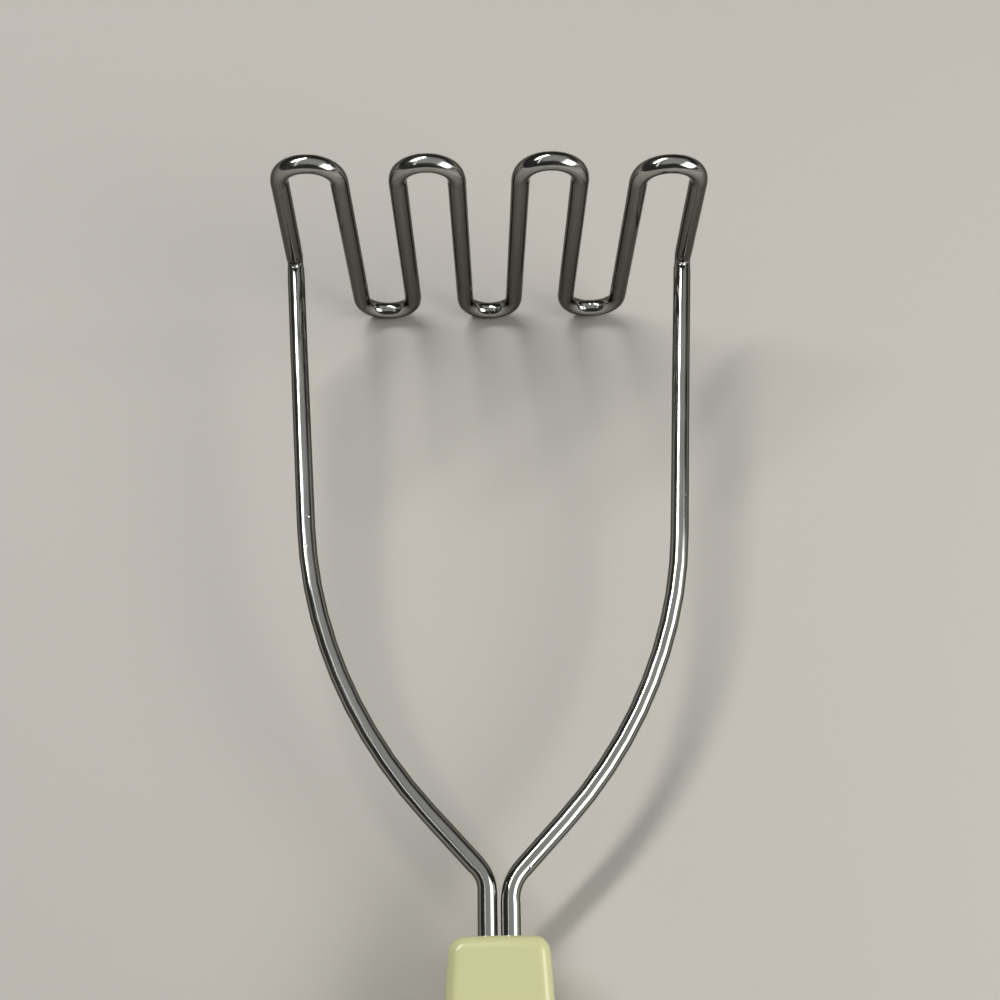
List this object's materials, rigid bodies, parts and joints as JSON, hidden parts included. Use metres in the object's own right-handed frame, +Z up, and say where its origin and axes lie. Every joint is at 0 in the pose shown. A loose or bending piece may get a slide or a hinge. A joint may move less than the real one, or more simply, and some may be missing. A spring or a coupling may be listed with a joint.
{
  "type": "potato masher",
  "caption": "Potato masher: a serpentine mashing head and arms bent from chromed wire, set in a moulded ivory plastic handle with a hanging hole.",
  "frame": {"origin": "on the table top under the centre of the masher's bounding box, as it lies on its three lower crowns and the butt of its handle", "axes": "+Z up from the table, +Y from the handle to the head, +X across the head; the arms rise towards the head by 4.19 degrees, so the head leans back from upright by as much"},
  "size_m": [0.0952, 0.2624, 0.0682],
  "materials": {
    "chromed_wire": "bright chrome plate with fine scratches and small pits",
    "ivory_plastic": "glossy moulded ivory plastic, lightly rubbed"
  },
  "bodies": {
    "root": {"bent_wire": "chromed_wire", "handle": "ivory_plastic"}
  },
  "joints": []
}
